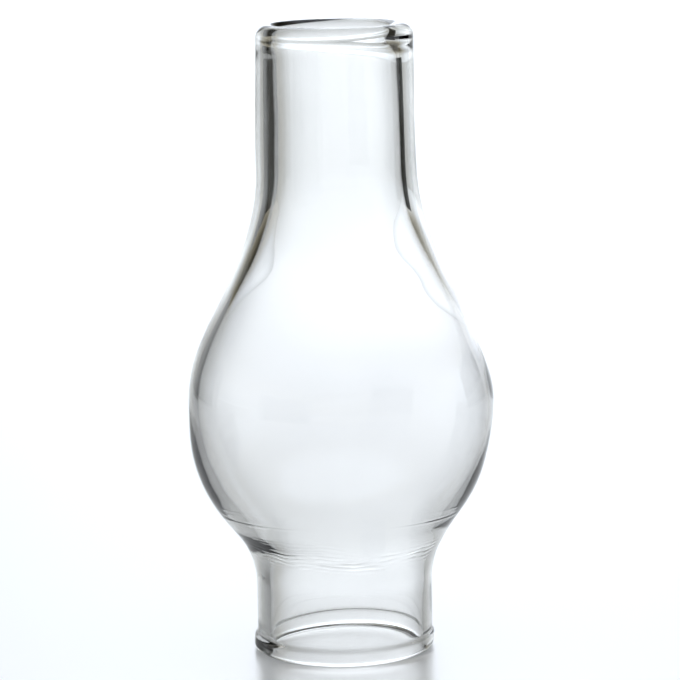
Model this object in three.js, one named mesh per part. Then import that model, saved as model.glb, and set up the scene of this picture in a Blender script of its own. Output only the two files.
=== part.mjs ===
// The chimney of a small oil lamp: one piece of clear glass, blown in a mould as a bulb between two tubes.
// Lengths are in millimetres and +Z is up. The origin is the centre of the flat ring that it stands on.
//
// The glass is one closed outline turned about the Z axis. It goes up the outside from the foot to the rim,
// rolls over the rim and comes down the bore. Its wall is thinnest at the bulb, where blowing stretches it.
import * as THREE from "three";

const overallHeight = 143;

// Foot: a low bead round the bottom, 1 5/8 inches across, which the prongs of a burner hold.
const footDiameter = 41.3;
const footBeadHeight = 4.6;
const footLip = 0.6;
const footEdgeRadius = 1.5;
const footShoulderRadius = 1.7;
const footFilletRadius = 1.5;
const seatInnerEdgeRadius = 0.7;

// Fitter: the straight collar above the foot. Its outside starts to flare lower down than its bore does.
const fitterWall = 2.6;
const fitterTopHeight = 14.5;
const fitterBoreTopHeight = 17.5;

// Bulb: the wide part round the flame.
const bulbDiameter = 69.4;
const bulbHeight = 57.5;
const bulbWall = 1.6;

// Neck: the flue above the bulb, which narrows a little towards the rim.
const neckDiameter = 36.2;
const neckBottomHeight = 111;
const neckTaper = 0.4;
const neckWall = 3.8;

// Rim: the top edge, melted round on the outside and rolled into a smaller bead that stands into the bore.
const rimShoulderRadius = 2.9;
const rimRoll = 1;
const rimFilletRadius = 10;

// How much of its rise each end of a curve keeps close to upright, on the outside and in the bore.
const outsideShares = {
  overFitterShare: 0.4,
  underBulbShare: 0.66,
  overBulbShare: 0.29,
  underNeckShare: 0.41,
};
const boreShares = {
  overFitterShare: 0.35,
  underBulbShare: 0.62,
  overBulbShare: 0.33,
  underNeckShare: 0.4,
};

const sidesAround = 60;
const curveSteps = 12;
const cornerSteps = 3;
const rimQuarterSteps = 4;
const quarterTurn = Math.PI / 2;
const halfTurn = Math.PI;

const footRadius = footDiameter / 2;
const fitterRadius = footRadius - footLip;
const fitterBore = fitterRadius - fitterWall;
const bulbRadius = bulbDiameter / 2;
const neckRadius = neckDiameter / 2;
const rimRadius = neckRadius - neckTaper;
const rimBeadRadius = neckWall + rimRoll - rimShoulderRadius;

// An arc of a circle, turning either way.
function arc(centre, radius, startAngle, endAngle, steps) {
  const clockwise = endAngle < startAngle;
  const curve = new THREE.EllipseCurve(centre.x, centre.y, radius, radius, startAngle, endAngle, clockwise);
  return curve.getPoints(steps);
}

// A curve that is upright at both ends, as glass is where it is widest and where it becomes a tube.
function uprightCurve(low, high, lowShare, highShare) {
  const rise = high.y - low.y;
  const lowHandle = new THREE.Vector2(low.x, low.y + lowShare * rise);
  const highHandle = new THREE.Vector2(high.x, high.y - highShare * rise);
  return new THREE.CubicBezierCurve(low, lowHandle, highHandle, high).getPoints(curveSteps);
}

// One side of the glass from the fitter to the neck: two upright curves that meet at the widest ring.
function bodyOutline(fitterTop, bulb, neckBottom, shares) {
  return [
    ...uprightCurve(fitterTop, bulb, shares.overFitterShare, shares.underBulbShare),
    ...uprightCurve(bulb, neckBottom, shares.overBulbShare, shares.underNeckShare).slice(1),
  ];
}

// The angle through which a round edge turns before it meets the fillet at its root. The lip is how far it
// stands out from the wall that the fillet runs into.
function blendAngle(lip, edgeRadius, filletRadius) {
  return Math.acos(1 - lip / (edgeRadius + filletRadius));
}

// Foot, from the flat ring round its lower edge, up the bead and through the fillet to the fitter.
function footOutline() {
  const turn = blendAngle(footLip, footShoulderRadius, footFilletRadius);
  const shoulderHeight = footBeadHeight - (footShoulderRadius + footFilletRadius) * Math.sin(turn);
  const edgeCentre = new THREE.Vector2(footRadius - footEdgeRadius, footEdgeRadius);
  const shoulderCentre = new THREE.Vector2(footRadius - footShoulderRadius, shoulderHeight);
  const filletCentre = new THREE.Vector2(fitterRadius + footFilletRadius, footBeadHeight);
  return [
    ...arc(edgeCentre, footEdgeRadius, -quarterTurn, 0, cornerSteps),
    ...arc(shoulderCentre, footShoulderRadius, 0, turn, cornerSteps),
    ...arc(filletCentre, footFilletRadius, halfTurn + turn, halfTurn, cornerSteps).slice(1),
  ];
}

// Rim, from the outside of the neck over the bead and through the fillet to the bore.
function rimOutline() {
  const turn = blendAngle(rimRoll, rimBeadRadius, rimFilletRadius);
  const crestRadius = rimRadius - rimShoulderRadius;
  const shoulderCentre = new THREE.Vector2(crestRadius, overallHeight - rimShoulderRadius);
  const beadCentre = new THREE.Vector2(crestRadius, overallHeight - rimBeadRadius);
  const filletHeight = beadCentre.y - (rimBeadRadius + rimFilletRadius) * Math.sin(turn);
  const filletCentre = new THREE.Vector2(rimRadius - neckWall - rimFilletRadius, filletHeight);
  return [
    ...arc(shoulderCentre, rimShoulderRadius, 0, quarterTurn, rimQuarterSteps),
    ...arc(beadCentre, rimBeadRadius, quarterTurn, halfTurn + turn, 2 * rimQuarterSteps).slice(1),
    ...arc(filletCentre, rimFilletRadius, turn, 0, cornerSteps).slice(1),
  ];
}

// The lower edge of the bore, rounded off onto the flat ring.
function seatEdgeOutline() {
  const centre = new THREE.Vector2(fitterBore + seatInnerEdgeRadius, seatInnerEdgeRadius);
  return arc(centre, seatInnerEdgeRadius, halfTurn, halfTurn + quarterTurn, cornerSteps);
}

// The whole section of the glass, closed on itself by the flat ring at its foot.
function glassOutline() {
  const outside = bodyOutline(
    new THREE.Vector2(fitterRadius, fitterTopHeight),
    new THREE.Vector2(bulbRadius, bulbHeight),
    new THREE.Vector2(neckRadius, neckBottomHeight),
    outsideShares,
  );
  const bore = bodyOutline(
    new THREE.Vector2(fitterBore, fitterBoreTopHeight),
    new THREE.Vector2(bulbRadius - bulbWall, bulbHeight),
    new THREE.Vector2(neckRadius - neckWall, neckBottomHeight),
    boreShares,
  );
  const outline = [...footOutline(), ...outside, ...rimOutline(), ...bore.reverse(), ...seatEdgeOutline()];
  outline.push(outline[0].clone());
  return outline;
}

const clearGlass = new THREE.MeshStandardMaterial({
  color: 0xe4e9f0,
  roughness: 0.03,
  metalness: 0,
  transparent: true,
  opacity: 0.35,
  side: THREE.DoubleSide,
});

const chimneyGeometry = new THREE.LatheGeometry(glassOutline(), sidesAround);
chimneyGeometry.rotateX(quarterTurn);

const glassChimney = new THREE.Mesh(chimneyGeometry, clearGlass);
glassChimney.name = "glass_chimney";

const chimney = new THREE.Group();
chimney.add(glassChimney);

export default chimney;
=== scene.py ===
"""The clear glass chimney of a small oil lamp, on a pale lacquered table in soft studio light.

Lengths are in metres and +Z is up, as in the frame. The origin is the centre of the chimney's foot.
"""

import math

import bpy
import numpy as np
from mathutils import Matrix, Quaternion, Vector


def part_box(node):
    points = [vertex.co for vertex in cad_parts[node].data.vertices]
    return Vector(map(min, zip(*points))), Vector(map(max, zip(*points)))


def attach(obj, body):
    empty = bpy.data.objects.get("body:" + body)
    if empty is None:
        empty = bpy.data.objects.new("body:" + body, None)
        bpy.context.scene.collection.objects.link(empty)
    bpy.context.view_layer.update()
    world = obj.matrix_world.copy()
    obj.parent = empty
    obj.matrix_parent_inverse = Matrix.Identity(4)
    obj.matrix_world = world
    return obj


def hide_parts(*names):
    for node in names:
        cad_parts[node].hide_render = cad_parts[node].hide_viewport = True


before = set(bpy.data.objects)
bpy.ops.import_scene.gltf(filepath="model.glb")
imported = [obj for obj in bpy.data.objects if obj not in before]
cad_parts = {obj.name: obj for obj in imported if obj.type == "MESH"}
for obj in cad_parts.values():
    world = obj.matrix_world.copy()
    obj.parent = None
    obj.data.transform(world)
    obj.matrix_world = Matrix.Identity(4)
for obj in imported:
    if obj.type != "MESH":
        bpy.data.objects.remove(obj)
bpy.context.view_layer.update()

# Glass chimney: one gather of clear soda-lime glass, blown in a mould as a bulb between two tubes. It was
# cut off at both ends, and a flame melted the cut edges smooth: the foot was pressed to a low bead, and the
# rim rolled into a round one. Blowing left the wall thinnest at the bulb, and a little thicker on one side.
chimney_top_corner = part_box("glass_chimney")[1]
overall_height = chimney_top_corner.z
bulb_radius = chimney_top_corner.x

foot_radius = 0.02065
foot_bead_height = 0.0046
foot_lip = 0.0006
foot_edge_radius = 0.0015
foot_shoulder_radius = 0.0017
foot_fillet_radius = 0.0015
seat_inner_edge_radius = 0.0007

fitter_wall = 0.0026
fitter_radius = foot_radius - foot_lip
fitter_bore = fitter_radius - fitter_wall
fitter_top_height = 0.0145
fitter_bore_top_height = 0.0175

bulb_height = 0.0575
bulb_wall = 0.0016

neck_radius = 0.0181
neck_bottom_height = 0.111
neck_taper = 0.0004
neck_wall = 0.0038

rim_radius = neck_radius - neck_taper
rim_shoulder_radius = 0.0029
rim_roll = 0.001
rim_bead_radius = neck_wall + rim_roll - rim_shoulder_radius
rim_fillet_radius = 0.01

# How much of its rise each end of a curve keeps close to upright: over the fitter, under the bulb, over the
# bulb and under the neck.
outside_shares = (0.4, 0.66, 0.29, 0.41)
bore_shares = (0.35, 0.62, 0.33, 0.4)

# How far the outside and the bore run off the axis towards +X, at each height. No blown tube is quite true,
# and this is what makes one wall thicker than the other. The outside follows a centre line that another
# program measured in the picture, rounded to 0.1 mm. Both were then changed by hand.
drift = {
    0: (-0.0003, 0.0003),
    0.006: (0, 0.0003),
    0.0165: (0, 0.0005),
    0.0245: (-0.0001, 0.0007),
    0.031: (-0.0006, -0.0001),
    0.044: (-0.0005, 0.0001),
    0.0575: (0, 0.0004),
    0.07: (-0.0004, 0.0004),
    0.087: (0.0001, 0.0004),
    0.101: (0, 0.0001),
    0.12: (-0.0003, 0),
    0.134: (-0.0001, -0.0001),
    0.143: (0, -0.0009),
}

sides_around = 220
curve_steps = 60
tube_steps = 24
corner_steps = 8
rim_quarter_steps = 12
quarter_turn = math.pi / 2
half_turn = math.pi


def arc(centre, radius, start, end, steps):
    """Points of a circle: centre plus radius times the cosine and the sine of an angle that runs evenly."""
    angles = np.linspace(start, end, steps + 1)
    return np.column_stack((centre[0] + radius * np.cos(angles), centre[1] + radius * np.sin(angles)))


def upright_curve(low, high, low_share, high_share):
    """A cubic Bezier curve that is upright at both ends. Each handle is its share of the rise long."""
    rise = high[1] - low[1]
    low_handle = (low[0], low[1] + low_share * rise)
    high_handle = (high[0], high[1] - high_share * rise)
    t = np.linspace(0, 1, curve_steps + 1)[:, None]
    weights = np.hstack(((1 - t) ** 3, 3 * t * (1 - t) ** 2, 3 * t**2 * (1 - t), t**3))
    return weights @ np.array([low, low_handle, high_handle, high])


def straight(start, end, steps):
    """Points that run evenly from start to end."""
    return np.linspace(start, end, steps + 1)


def body_outline(fitter_top, bulb, neck_bottom, shares):
    """One side of the glass from the fitter to the neck: two upright curves that meet at the widest ring."""
    lower = upright_curve(fitter_top, bulb, shares[0], shares[1])
    upper = upright_curve(bulb, neck_bottom, shares[2], shares[3])
    return np.vstack((lower, upper[1:]))


def blend_angle(lip, edge_radius, fillet_radius):
    """How far a round edge turns before it meets the fillet at its root.

    The cosine of this angle is 1 minus how far the lip stands out over the sum of the two radii.
    """
    return math.acos(1 - lip / (edge_radius + fillet_radius))


def outside_outline():
    """Half of the section, up the outside: flat ring, foot bead, fitter, bulb, neck and top of the rim."""
    turn = blend_angle(foot_lip, foot_shoulder_radius, foot_fillet_radius)
    shoulder_height = foot_bead_height - (foot_shoulder_radius + foot_fillet_radius) * math.sin(turn)
    edge_centre = (foot_radius - foot_edge_radius, foot_edge_radius)
    shoulder_centre = (foot_radius - foot_shoulder_radius, shoulder_height)
    fillet_centre = (fitter_radius + foot_fillet_radius, foot_bead_height)
    rim_centre = (rim_radius - rim_shoulder_radius, overall_height - rim_shoulder_radius)
    body = body_outline(
        (fitter_radius, fitter_top_height),
        (bulb_radius, bulb_height),
        (neck_radius, neck_bottom_height),
        outside_shares,
    )
    foot_edge = arc(edge_centre, foot_edge_radius, -quarter_turn, 0, corner_steps)
    shoulder = arc(shoulder_centre, foot_shoulder_radius, 0, turn, corner_steps)
    fillet = arc(fillet_centre, foot_fillet_radius, half_turn + turn, half_turn, corner_steps)
    rim = arc(rim_centre, rim_shoulder_radius, 0, quarter_turn, rim_quarter_steps)
    return np.vstack((
        foot_edge,
        shoulder,
        fillet[1:],
        straight(fillet[-1], body[0], tube_steps)[1:],
        body[1:],
        straight(body[-1], rim[0], tube_steps)[1:],
        rim[1:],
    ))


def bore_outline():
    """The other half, down the bore: rest of the rim bead, its fillet, neck, bulb, fitter and seat edge."""
    turn = blend_angle(rim_roll, rim_bead_radius, rim_fillet_radius)
    bead_centre = (rim_radius - rim_shoulder_radius, overall_height - rim_bead_radius)
    fillet_height = bead_centre[1] - (rim_bead_radius + rim_fillet_radius) * math.sin(turn)
    fillet_centre = (rim_radius - neck_wall - rim_fillet_radius, fillet_height)
    seat_centre = (fitter_bore + seat_inner_edge_radius, seat_inner_edge_radius)
    body = body_outline(
        (fitter_bore, fitter_bore_top_height),
        (bulb_radius - bulb_wall, bulb_height),
        (neck_radius - neck_wall, neck_bottom_height),
        bore_shares,
    )[::-1]
    rim = arc(bead_centre, rim_bead_radius, quarter_turn, half_turn + turn, 2 * rim_quarter_steps)
    fillet = arc(fillet_centre, rim_fillet_radius, turn, 0, corner_steps)
    seat_edge = arc(seat_centre, seat_inner_edge_radius, half_turn, half_turn + quarter_turn, corner_steps)
    return np.vstack((
        rim[1:],
        fillet[1:],
        straight(fillet[-1], body[0], tube_steps)[1:],
        body[1:],
        straight(body[-1], seat_edge[0], tube_steps)[1:],
        seat_edge[1:],
    ))


def soft_step(t):
    """Rises smoothly from 0 to 1 as t does: 3 t squared minus 2 t cubed, and level beyond both ends."""
    t = np.clip(t, 0, 1)
    return t * t * (3 - 2 * t)


def soft_levels(place, places, levels):
    """Runs through the levels at their places, with a soft step between each two."""
    i = np.clip(np.searchsorted(places, place) - 1, 0, len(places) - 2)
    t = (place - places[i]) / (places[i + 1] - places[i])
    return levels[i] + (levels[i + 1] - levels[i]) * soft_step(t)


def turned_glass():
    """Each outline point goes round the axis: x = r cos a, y = r sin a. The rings are then moved aside."""
    outside = outside_outline()
    bore = bore_outline()
    profile = np.vstack((outside, bore))
    in_bore = np.zeros(len(profile))
    in_bore[len(outside) :] = 1
    # Over the rim's bead the drift of the outside goes over into that of the bore.
    over_bead = slice(len(outside), len(outside) + 2 * rim_quarter_steps)
    crest_radius = rim_radius - rim_shoulder_radius
    in_bore[over_bead] = soft_step((crest_radius - profile[over_bead, 0]) / rim_bead_radius)
    heights = profile[:, 1]
    drift_heights = np.array(list(drift))
    outside_drift, bore_drift = np.array(list(drift.values())).T
    aside = (1 - in_bore) * soft_levels(heights, drift_heights, outside_drift)
    aside += in_bore * soft_levels(heights, drift_heights, bore_drift)
    angles = np.linspace(0, 2 * math.pi, sides_around, endpoint=False)
    radius = profile[:, :1]
    x = radius * np.cos(angles) + aside[:, None]
    y = radius * np.sin(angles)
    z = np.broadcast_to(profile[:, 1:], x.shape)
    return np.stack((x, y, z), axis=-1)


def ring_mesh(name, grid):
    """A closed skin over a grid that wraps round in both directions, with its faces outwards.

    Each face joins a point, the next one in its row, and the two above them.
    """
    rows, columns = grid.shape[:2]
    index = np.arange(rows * columns).reshape(rows, columns)
    right = np.roll(index, -1, axis=1)
    above = np.roll(index, -1, axis=0)
    corners = np.stack((index, right, np.roll(above, -1, axis=1), above), axis=-1).reshape(-1, 4)
    mesh = bpy.data.meshes.new(name)
    mesh.from_pydata(grid.reshape(-1, 3), [], corners)
    mesh.shade_smooth()
    mesh.update()
    return mesh


glass_object = bpy.data.objects.new("chimney_glass", ring_mesh("chimney_glass", turned_glass()))
bpy.context.scene.collection.objects.link(glass_object)


def linear(hex_colour):
    """The linear colour, with alpha, of an sRGB hex value.

    The deepest darks are divided by 12.92. Any other share has 0.055 added, is divided by 1.055 and is
    raised to the power of 2.4.
    """
    shares = [int(hex_colour[i : i + 2], 16) / 255 for i in (0, 2, 4)]
    return tuple(c / 12.92 if c <= 0.04045 else ((c + 0.055) / 1.055) ** 2.4 for c in shares) + (1.0,)


def add_node(tree, kind, values=(), links=(), **settings):
    """Adds a node, sets its properties, then its input values, then links (input, from node, output)."""
    node = tree.nodes.new(kind)
    for key, value in settings.items():
        setattr(node, key, value)
    for key, value in dict(values).items():
        node.inputs[key].default_value = value
    for socket, source, output in links:
        tree.links.new(source.outputs[output], node.inputs[socket])
    return node


# The depth of the glass takes light away towards this tint, at this rate for each metre.
glass_ior = 1.5
glass_tint = "BCBCAD"
tint_density = 42.0

waver_width = 0.00909
waver_depth = 0.00003

# The level lines are about as far apart as real ones, but longer and more regular. Their height wanders by
# up to wander_height, so the band that they fill lies about half of that lower than these two heights.
line_pitch = 0.0011
line_depth = 0.000026
lines_from, lines_to = 0.0245, 0.0305
wander_width = 0.01667
wander_height = 0.006

ring_pitch = 0.002
ring_depth = 0.000016
ring_from, ring_to = 0.0328, 0.0338

marks_start_y, marks_full_y = -0.003, -0.017


def ridges(tree, source, output, first, last, pitch):
    """Level ridges: the sine of a whole turn for each pitch of height, times a swell.

    The swell is the sine of half a turn from the first height to the last, and is 0 at both.
    """
    band = add_node(
        tree,
        "ShaderNodeMapRange",
        {"From Min": first, "From Max": last},
        [("Value", source, output)],
    )
    swell = add_node(tree, "ShaderNodeMath", {1: math.pi}, [(0, band, "Result")], operation="MULTIPLY")
    fade = add_node(tree, "ShaderNodeMath", links=[(0, swell, "Value")], operation="SINE")
    turns = {1: 2 * math.pi / pitch}
    phase = add_node(tree, "ShaderNodeMath", turns, [(0, source, output)], operation="MULTIPLY")
    swing = add_node(tree, "ShaderNodeMath", links=[(0, phase, "Value")], operation="SINE")
    return add_node(
        tree,
        "ShaderNodeMath",
        links=[(0, fade, "Value"), (1, swing, "Value")],
        operation="MULTIPLY",
    )


def blown_glass():
    """Blown and fire-polished soda-lime glass: colourless and glossy, faintly olive where it is thick.

    Mould-blown glass keeps a soft unevenness about 9 mm across, which the eye sees as a slow waver in what
    shows through it. Where the bulb was pulled down to the fitter, it keeps fine level lines about 1 mm
    apart, which break up and run together as they go round, and above them one level ring. The marks are
    known only from the front, so they fade out towards the back.
    """
    material = bpy.data.materials.new("blown_soda_lime_glass")
    material.use_nodes = True
    tree = material.node_tree
    tree.nodes.clear()
    place = add_node(tree, "ShaderNodeTexCoord")
    parts = add_node(tree, "ShaderNodeSeparateXYZ", links=[("Vector", place, "Object")])
    waver = add_node(
        tree,
        "ShaderNodeTexNoise",
        {"Scale": 1 / waver_width, "Detail": 1.0, "Roughness": 0.4},
        [("Vector", place, "Object")],
    )
    wander = add_node(
        tree,
        "ShaderNodeTexNoise",
        {"Scale": 1 / wander_width, "Detail": 2.0, "Roughness": 0.5},
        [("Vector", place, "Object")],
    )
    height = add_node(
        tree,
        "ShaderNodeMath",
        {1: wander_height},
        [(0, wander, "Fac"), (2, parts, "Z")],
        operation="MULTIPLY_ADD",
    )
    lines = ridges(tree, height, "Value", lines_from, lines_to, line_pitch)
    ring = ridges(tree, parts, "Z", ring_from, ring_to, ring_pitch)
    front = add_node(
        tree,
        "ShaderNodeMapRange",
        {"From Min": marks_start_y, "From Max": marks_full_y},
        [("Value", parts, "Y")],
    )
    relief = add_node(
        tree,
        "ShaderNodeBump",
        {"Strength": 1.0, "Distance": waver_depth},
        [("Height", waver, "Fac")],
    )
    for mark, depth in ((lines, line_depth), (ring, ring_depth)):
        shown = add_node(
            tree,
            "ShaderNodeMath",
            links=[(0, mark, "Value"), (1, front, "Result")],
            operation="MULTIPLY",
        )
        relief = add_node(
            tree,
            "ShaderNodeBump",
            {"Strength": 1.0, "Distance": depth},
            [("Height", shown, "Value"), ("Normal", relief, "Normal")],
        )
    glass = add_node(
        tree,
        "ShaderNodeBsdfPrincipled",
        {"Base Color": linear("FFFFFF"), "Roughness": 0.0, "IOR": glass_ior, "Transmission Weight": 1.0},
        [("Normal", relief, "Normal")],
    )
    depth_tint = add_node(
        tree,
        "ShaderNodeVolumeAbsorption",
        {"Color": linear(glass_tint), "Density": tint_density},
    )
    add_node(
        tree,
        "ShaderNodeOutputMaterial",
        links=[("Surface", glass, "BSDF"), ("Volume", depth_tint, "Volume")],
    )
    return material


glass_object.data.materials.append(blown_glass())
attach(glass_object, "root")
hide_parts("glass_chimney")

# Light falls through the glass onto the table, which stays bright inside the foot.
glass_object.visible_shadow = False

# Table: a flat board, painted white and lacquered to a satin gloss. It runs out past the picture on every
# side, and its gloss mirrors the panel behind the chimney as a pale sheen.
board_reach = 12.0
board_white = "ECECEC"
lacquer_ior = 1.5
lacquer_roughness = 0.28


def stage_piece(name, grid, material):
    """An open sheet over a grid. Each face joins two points of a row and two above them."""
    rows, columns = grid.shape[:2]
    index = np.arange(rows * columns).reshape(rows, columns)
    row, above = index[:-1], index[1:]
    corners = np.stack((row[:, :-1], row[:, 1:], above[:, 1:], above[:, :-1]), axis=-1).reshape(-1, 4)
    mesh = bpy.data.meshes.new(name)
    mesh.from_pydata(grid.reshape(-1, 3), [], corners)
    mesh.shade_smooth()
    mesh.update()
    mesh.materials.append(material)
    piece = bpy.data.objects.new(name, mesh)
    bpy.context.scene.collection.objects.link(piece)
    return piece


def satin_board():
    """White paint under satin lacquer: paint and lacquer each give back a broad, soft gloss."""
    material = bpy.data.materials.new("painted_lacquered_board")
    material.use_nodes = True
    tree = material.node_tree
    tree.nodes.clear()
    board = add_node(
        tree,
        "ShaderNodeBsdfPrincipled",
        {
            "Base Color": linear(board_white),
            "Roughness": lacquer_roughness,
            "IOR": lacquer_ior,
            "Coat Weight": 1.0,
            "Coat Roughness": lacquer_roughness,
            "Coat IOR": lacquer_ior,
        },
    )
    add_node(tree, "ShaderNodeOutputMaterial", links=[("Surface", board, "BSDF")])
    return material


board_x, board_y = np.meshgrid((-board_reach, board_reach), (-board_reach, board_reach))
stage_piece("floor", np.stack((board_x, board_y, np.zeros((2, 2))), axis=-1), satin_board())

# Cards: dark matt cards, bent round the chimney and stood on the table out of the picture. The glass bends
# light from the sides to its outline, so these give it its dark edges. Their tone is painted shade for the
# surroundings: near black at the sides, and the two behind turn pale towards the middle, which keeps those
# edges soft.
card_distance = 0.6
card_height = 0.19
card_steps = 24
card_dark, card_pale = "1C1A0B", "F0F2F8"
# Painted shade on the cards at each bearing, from near black at 0 to pale at 1.
card_levels = {
    -180: 0.1,
    -70: 0.03,
    -50: 0.03,
    -43: 0.3,
    -26: 0.8,
    0: 1,
    40: 0.9,
    44: 0.5,
    47: 0.03,
    74: 0.03,
    180: 0.1,
}


def bearing_share(degrees):
    """A bearing plus 180, over 360. The bearing is 0 straight behind the chimney and 90 towards +X."""
    return (degrees + 180) / 360


def bearing_of(tree, parts):
    """The same share for a point or a direction: its bearing is the arctangent of X over Y."""
    compass = add_node(tree, "ShaderNodeMath", links=[(0, parts, "X"), (1, parts, "Y")], operation="ARCTAN2")
    return add_node(
        tree,
        "ShaderNodeMapRange",
        {"From Min": -math.pi, "From Max": math.pi},
        [("Value", compass, "Value")],
    )


def level_curve(tree, source, output, levels, place, peak=1):
    """A soft curve through the levels, which are set at their places and are no higher than the peak."""
    ramp = add_node(tree, "ShaderNodeFloatCurve", links=[("Value", source, output)])
    points = ramp.mapping.curves[0].points
    for i, (key, level) in enumerate(levels.items()):
        spot = (place(key), level / peak)
        if i < 2:
            points[i].location = spot
        else:
            points.new(*spot)
    ramp.mapping.update()
    return add_node(tree, "ShaderNodeMath", {1: peak}, [(0, ramp, "Value")], operation="MULTIPLY")


def graded_card():
    """Matt card with painted shade: its tone runs from near black to pale with the bearing. Having no gloss,
    it shows as a soft and even tone.
    """
    material = bpy.data.materials.new("painted_shade_card")
    material.use_nodes = True
    tree = material.node_tree
    tree.nodes.clear()
    place = add_node(tree, "ShaderNodeTexCoord")
    parts = add_node(tree, "ShaderNodeSeparateXYZ", links=[("Vector", place, "Object")])
    # The tone by bearing is painted shade: dark at the sides of the chimney, pale towards the middle behind
    # it.
    grade = level_curve(tree, bearing_of(tree, parts), "Result", card_levels, bearing_share)
    tone = add_node(
        tree,
        "ShaderNodeMix",
        {"A": linear(card_dark), "B": linear(card_pale)},
        [(0, grade, "Value")],
        data_type="RGBA",
    )
    card = add_node(tree, "ShaderNodeBsdfDiffuse")
    tree.links.new(tone.outputs["Result"], card.inputs["Color"])
    add_node(tree, "ShaderNodeOutputMaterial", links=[("Surface", card, "BSDF")])
    return material


def bent_card(name, first, last, material):
    """A card round from one bearing to another: x = d sin a, y = d cos a, and z from 0 to its height."""
    angles = np.radians(np.linspace(first, last, card_steps + 1))
    shape = (2, card_steps + 1)
    x = np.broadcast_to(card_distance * np.sin(angles), shape)
    y = np.broadcast_to(card_distance * np.cos(angles), shape)
    z = np.broadcast_to(np.array((0, card_height))[:, None], shape)
    return stage_piece(name, np.stack((x, y, z), axis=-1), material)


card_material = graded_card()
bent_card("card_back_left", -70, -28, card_material)
bent_card("card_back_right", 43, 74, card_material)
bent_card("card_front_left", -156, -118, card_material)

# Light: a tall white panel straight behind the chimney, a low pale strip all round, white walls at the sides
# and a brighter ceiling. Each is drawn on the sky as its level at each bearing times its level at each
# height above the horizon, both in degrees. The ceiling has the same level at every bearing.

# These levels weren't all chosen by hand. They began as a fit, by another program, of a whole sky to the
# brightness of the picture. That was rounded, shared out over the four lights and then changed.
panel_round = {
    -180: 0,
    -34: 0,
    -24: 0.1,
    -14: 0.52,
    -8: 0.8,
    -2: 1,
    4: 1,
    9: 0.8,
    15: 0.58,
    22: 0.38,
    30: 0.22,
    42: 0,
    180: 0,
}
panel_up = {0: 0.6, 3: 1.3, 7: 1.58, 10: 1.02, 14: 1.36, 24: 2.5, 37: 2.6, 48: 0.9, 62: 0, 90: 0}
strip_round = {
    -180: 0.08,
    -130: 0.12,
    -100: 0.2,
    -68: 0.32,
    -50: 0.38,
    -24: 0.5,
    0: 0.52,
    22: 0.7,
    40: 0.6,
    56: 0.55,
    72: 0.4,
    95: 0.3,
    130: 0.12,
    180: 0.08,
}
strip_up = {0: 1.2, 7: 1.1, 14: 0.5, 24: 0.14, 34: 0, 90: 0}
walls_round = {
    -180: 0.4,
    -150: 0.42,
    -120: 0.55,
    -92: 0.62,
    -66: 0.28,
    -46: 0.05,
    -20: 0.03,
    0: 0.12,
    36: 0.22,
    54: 0.32,
    72: 0.68,
    92: 0.8,
    120: 0.65,
    150: 0.42,
    180: 0.4,
}
walls_up = {0: 0.95, 4: 1.05, 8: 1.14, 14: 1.06, 24: 0.93, 37: 0.7, 50: 0.35, 64: 0, 90: 0}
ceiling_up = {0: 0, 36: 0, 54: 1.05, 90: 1.15}
highest_level = 4
dimmest_level = 0.015
dim_colour, bright_colour = "FFF3D0", "F1F7FF"


def sine(degrees):
    """The sine of an angle in degrees: how high a direction so far up is on a sky of radius 1."""
    return math.sin(math.radians(degrees))


world = bpy.data.worlds.new("studio")
bpy.context.scene.world = world
world.use_nodes = True
sky_tree = world.node_tree
sky_tree.nodes.clear()
direction = add_node(sky_tree, "ShaderNodeTexCoord")
sky_parts = add_node(sky_tree, "ShaderNodeSeparateXYZ", links=[("Vector", direction, "Generated")])
sky_bearing = bearing_of(sky_tree, sky_parts)
brightness = level_curve(sky_tree, sky_parts, "Z", ceiling_up, sine, highest_level)
for levels_round, levels_up in ((panel_round, panel_up), (strip_round, strip_up), (walls_round, walls_up)):
    across = level_curve(sky_tree, sky_bearing, "Result", levels_round, bearing_share)
    upwards = level_curve(sky_tree, sky_parts, "Z", levels_up, sine, highest_level)
    brightness = add_node(
        sky_tree,
        "ShaderNodeMath",
        links=[(0, across, "Value"), (1, upwards, "Value"), (2, brightness, "Value")],
        operation="MULTIPLY_ADD",
    )
# A soft curve dips below zero beside a steep rise, so the sum stops at the level of a dim corner.
brightness = add_node(
    sky_tree,
    "ShaderNodeMath",
    {1: dimmest_level},
    [(0, brightness, "Value")],
    operation="MAXIMUM",
)
sky_colour = add_node(
    sky_tree,
    "ShaderNodeMix",
    {"A": linear(dim_colour), "B": linear(bright_colour)},
    [(0, brightness, "Value")],
    data_type="RGBA",
)
sky = add_node(sky_tree, "ShaderNodeBackground", links=[("Strength", brightness, "Value")])
sky_tree.links.new(sky_colour.outputs["Result"], sky.inputs["Color"])
add_node(sky_tree, "ShaderNodeOutputWorld", links=[("Surface", sky, "Background")])

# Camera: a long lens that looks down a little on the chimney, from straight in front. Its place, pitch and
# roll come from how round the rim and the foot look and which way the chimney leans in the picture. The
# lens and the sensor are in millimetres.
camera_distance = 0.737
camera_height = 0.196
camera_pitch = math.radians(9.61)
camera_roll = math.radians(-1.05)
lens_length = 174.4
sensor_width = 36
nearest = 0.01

camera_data = bpy.data.cameras.new("camera")
camera_data.sensor_width = sensor_width
camera_data.lens = lens_length
camera_data.clip_start = nearest
camera = bpy.data.objects.new("camera", camera_data)
bpy.context.scene.collection.objects.link(camera)
camera.location = (0, -camera_distance, camera_height)
tipped = Quaternion((1, 0, 0), math.pi / 2 - camera_pitch)
rolled = Quaternion((0, 0, 1), camera_roll)
camera.rotation_mode = "QUATERNION"
camera.rotation_quaternion = tipped @ rolled
bpy.context.scene.camera = camera
bpy.context.scene.view_settings.view_transform = "Standard"
